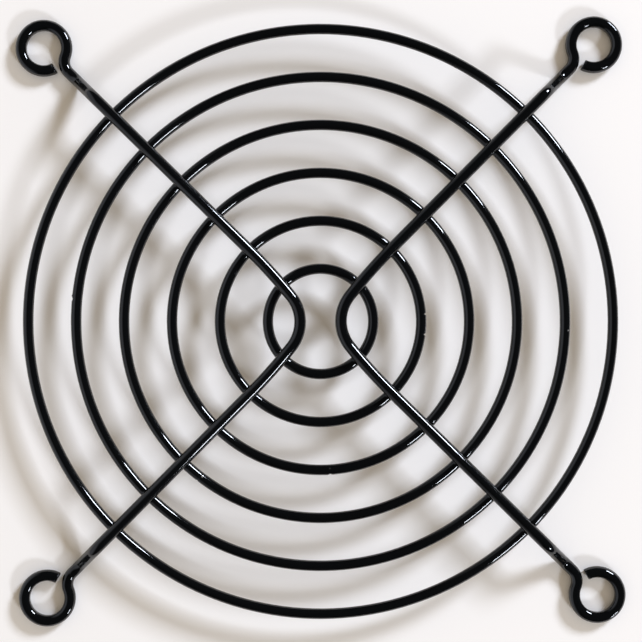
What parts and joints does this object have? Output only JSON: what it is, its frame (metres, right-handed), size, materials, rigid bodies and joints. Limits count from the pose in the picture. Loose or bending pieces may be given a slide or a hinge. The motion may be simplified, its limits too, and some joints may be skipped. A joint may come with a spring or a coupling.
{
  "type": "wire fan guard",
  "caption": "Round finger guard for an axial fan: concentric wire rings welded under V-shaped rib wires that end in screw eyelets.",
  "frame": {"origin": "centre of the guard, on the plane of the fan's face where the four eyelets rest", "axes": "+Z away from the fan, through the guard's centre; +X and +Y along the sides of the square of screw holes, with the rib tips pointing at each other along X"},
  "size_m": [0.0788, 0.0788, 0.0052],
  "materials": {
    "black_enamel": "gloss black enamel on steel wire"
  },
  "bodies": {
    "root": {"ring_1": "black_enamel", "ring_2": "black_enamel", "ring_3": "black_enamel", "ring_4": "black_enamel", "ring_5": "black_enamel", "ring_6": "black_enamel", "rib_left": "black_enamel", "rib_right": "black_enamel"}
  },
  "joints": []
}
